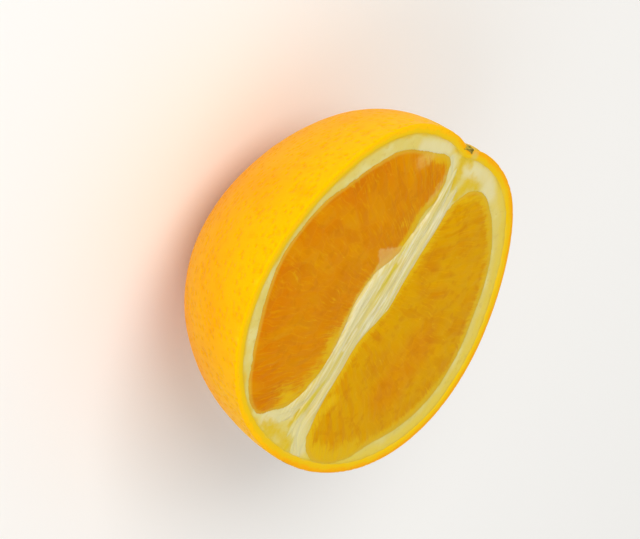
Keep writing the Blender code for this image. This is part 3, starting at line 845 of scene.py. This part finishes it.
def makeCoreMaterial():
    # Moist white core: pale fibres with a wet shine, yellow or grey where bundles of vessels show through. The
    # fibres are 0.2 mm thick on the fruit and are drawn twice as coarse, so that they show
    material, tree, shader = newMaterial("moist white core", IOR=1.38, Roughness=0.38, Specular_IOR_Level=0.35,
                                         Subsurface_Weight=0.35, Subsurface_Scale=0.0007,
                                         Subsurface_Radius=(1.0, 0.8, 0.4))
    position = addNode(tree, "ShaderNodeTexCoord", output="Object")
    x = addNode(tree, "ShaderNodeSeparateXYZ", {0: position}, output="X")
    inMillimetres = addNode(tree, "ShaderNodeVectorMath", {0: position, 1: (60.0, 1000.0, 1000.0)},
                            operation="MULTIPLY")
    fibres = addNode(tree, "ShaderNodeTexNoise", {"Vector": inMillimetres, "Scale": 2.2, "Detail": 3.0})
    bundles = addNode(tree, "ShaderNodeTexNoise", {"Vector": inMillimetres, "Scale": 0.9, "Detail": 3.0})
    clouds = addNode(tree, "ShaderNodeTexNoise", {"Vector": position, "Scale": 1 / 0.006, "Detail": 3.0})
    toEnd, yellowed, whitened = [addNode(tree, "ShaderNodeAttribute", output="Fac", attribute_name=name)
                                 for name in ("toEnd", "yellowed", "whitened")]
    yellowing = sumHeights(tree, ((yellowed, 0.0, 1.0), (bundles, 0.5, 2.0)))
    colour = paintLayers(tree, "#D9CA86", (
        ("#E4DBB2", fibres, 0.46, 0.60, 0.9),
        ("#D2BC3A", bundles, 0.55, 0.64, 0.65),
        ("#CDBB88", bundles, 0.44, 0.34, 0.28),
        ("#D6BE5C", x, 0.004, 0.022, 0.35),
        ("#D6BA50", clouds, 0.52, 0.72, 0.4),
        # paler towards the ends, where the strands blend into the pith, and painted light that lifts the shade on
        # the sunk tips
        ("#DECF84", toEnd, 10.0, 3.0, 0.85),
        ("#DFD49E", whitened, 0.2, 1.0, 0.45),
        ("#D0B824", yellowing, 0.45, 1.10, 0.85),
    ))
    tree.links.new(colour, shader.inputs["Base Color"])
    relief = sumHeights(tree, ((fibres, 0.5, 1.0), (bundles, 0.5, 1.0)))
    bump = addNode(tree, "ShaderNodeBump", {"Height": relief, "Strength": 0.3, "Distance": 0.00014})
    tree.links.new(bump, shader.inputs["Normal"])
    return material


# The stem button: a small woody star, cut in half by the knife, with the scar where the stem came off

button = {
    "radius": 0.0018,
    "thickness": 0.0017,
    "lobes": 5,
    "lobeDepth": 0.0003,
    "scarRadius": 0.0008,
    "scarDepth": 0.0004,
    "sunk": 0.0011,
    "coneSlope": 0.35,
    "darkSpot": (-0.0357, -0.0004, 0.0001),  # about the fruit's middle
}


def makeButton(material):
    stemReach = -float(peelPoints(np.array(0.0), np.array(0.0))[0] - middle.x)
    stemX = middle.x - stemReach + button["sunk"] - button["thickness"] / 2
    radius, scar = button["radius"], button["scarRadius"]
    bpy.ops.mesh.primitive_cylinder_add(vertices=60, radius=radius, depth=button["thickness"], location=(0, 0, 0))
    piece = nameNewest("stemButton")
    for face in piece.data.polygons:
        face.select = face.normal.z > 0.9
    bpy.ops.object.mode_set(mode="EDIT")
    bpy.ops.mesh.select_mode(type="FACE")
    bpy.ops.mesh.inset(thickness=(radius - scar) * 0.4)
    bpy.ops.mesh.inset(thickness=(radius - scar) * 0.6)
    bpy.ops.mesh.inset(thickness=scar * 0.3, depth=-button["scarDepth"])
    bpy.ops.mesh.poke()
    bpy.ops.mesh.select_all(action="SELECT")
    bpy.ops.mesh.subdivide(number_cuts=1)
    bpy.ops.object.mode_set(mode="OBJECT")
    points = getPoints(piece)
    away = np.hypot(points[:, 0], points[:, 1])
    turn = np.arctan2(points[:, 1], points[:, 0])
    lobed = button["lobeDepth"] / radius * np.cos(button["lobes"] * turn) * np.clip((away - scar) / 0.001, 0, 1)
    points[:, :2] *= (1 + lobed)[:, None]
    points[:, 2] -= np.clip(away - scar, 0, 1) * button["coneSlope"]
    setPoints(piece, np.stack([-points[:, 2] + stemX, points[:, 1] + middle.y, points[:, 0] + middle.z], axis=1))
    makeActive(piece)
    bpy.ops.object.mode_set(mode="EDIT")
    bpy.ops.mesh.select_all(action="SELECT")
    bpy.ops.mesh.bisect(plane_co=(0, 0, middle.z + 0.0001), plane_no=(0, 0, 1), clear_outer=True, use_fill=True)
    bpy.ops.mesh.select_all(action="SELECT")
    bpy.ops.mesh.normals_make_consistent(inside=False)
    bpy.ops.object.mode_set(mode="OBJECT")
    return finishPiece(piece, material)


def makeButtonMaterial():
    # Dried calyx: greenish brown and dull outside, paler where the knife went through
    material, tree, shader = newMaterial("dried calyx", IOR=1.5, Roughness=0.8)
    position = addNode(tree, "ShaderNodeTexCoord", output="Object")
    grain = addNode(tree, "ShaderNodeTexNoise", {"Vector": position, "Scale": 1000.0, "Detail": 4.0})
    height = addNode(tree, "ShaderNodeSeparateXYZ", {0: position}, output="Z")
    spot = tuple(middle + Vector(button["darkSpot"]))
    fromSpot = addNode(tree, "ShaderNodeVectorMath", {0: position, 1: spot}, output="Value", operation="DISTANCE")
    colour = paintLayers(tree, "#6E6826", (
        ("#8A8440", grain, 0.40, 0.60, 0.8),
        ("#D2B632", height, middle.z - 0.0005, middle.z, 0.9),
        ("#4A4614", fromSpot, 0.0008, 0.0004, 0.85),
    ))
    tree.links.new(colour, shader.inputs["Base Color"])
    bump = addNode(tree, "ShaderNodeBump", {"Height": grain, "Strength": 0.6, "Distance": 0.0002})
    tree.links.new(bump, shader.inputs["Normal"])
    return material


# Stage: a plain pale floor, soft studio light and the camera at the photograph's angle

stage = {
    "floorSize": 3.0,
    "cameraPlace": (0.00447, -0.69337, 0.52238),
    "aim": (0.0, 0.0, 0.0200),
    "imageUp": (-0.86279, -0.30888, -0.40024),
    # The photograph's focal length and width in pixels, and how much closer the half is framed here
    "focalPixels": 2676.0,
    "photoWidth": 640,
    "closer": 1.62,
    "sensorWidth": 36.0,
    "worldStrength": 0.57,
    # Each light's name, place, size, power and colour
    "lights": (
        ("keyLight", (-0.55, -0.95, 1.05), 0.9, 13.6, (1.0, 0.985, 0.96)),
        ("fillLight", (0.9, -0.5, 0.7), 1.0, 3.6, (0.96, 0.98, 1.0)),
    ),
}


def makeStage():
    bpy.ops.mesh.primitive_plane_add(size=stage["floorSize"], location=(0, 0, 0))
    floor = nameNewest("floor")
    # Matt paint, a little off white
    material, _, _ = newMaterial("pale painted floor", Roughness=0.75, Base_Color=toLinear("#F5F4F1"))
    floor.data.materials.append(material)

    camera = bpy.data.objects.new("camera", bpy.data.cameras.new("camera"))
    bpy.context.scene.collection.objects.link(camera)
    camera.data.sensor_width = stage["sensorWidth"]
    camera.data.lens = stage["focalPixels"] * stage["closer"] / stage["photoWidth"] * stage["sensorWidth"]
    place, aim = Vector(stage["cameraPlace"]), Vector(stage["aim"])
    back = (place - aim).normalized()
    right = Vector(stage["imageUp"]).cross(back).normalized()
    turn = Matrix((right, back.cross(right), back)).transposed().to_4x4()
    camera.matrix_world = Matrix.Translation(place) @ turn
    bpy.context.scene.camera = camera

    for name, spot, size, power, colour in stage["lights"]:
        light = bpy.data.lights.new(name, "AREA")
        light.size = size
        light.energy = power
        light.color = colour
        holder = bpy.data.objects.new(name, light)
        bpy.context.scene.collection.objects.link(holder)
        holder.location = spot
        holder.rotation_euler = (aim - Vector(spot)).to_track_quat("-Z", "Y").to_euler()

    world = bpy.data.worlds.new("studio")
    world.use_nodes = True
    world.node_tree.nodes["Background"].inputs["Color"].default_value = (1.0, 1.0, 1.0, 1.0)
    world.node_tree.nodes["Background"].inputs["Strength"].default_value = stage["worldStrength"]
    bpy.context.scene.world = world
    bpy.context.scene.view_settings.view_transform = "Standard"
    print("stage ready")


makeStage()
makePeel(makePeelMaterial())
pithPiece = makePith(makePithMaterial())
fleshMaterial = makeFleshMaterial()
farFlesh = makeLobe("farFlesh", flesh["farLobe"], fleshMaterial)
nearFlesh = makeLobe("nearFlesh", flesh["nearLobe"], fleshMaterial)
coreMaterial = makeCoreMaterial()
corePiece = makeCore(coreMaterial)
makeThreads(coreMaterial, (corePiece, pithPiece, farFlesh, nearFlesh))
makeButton(makeButtonMaterial())
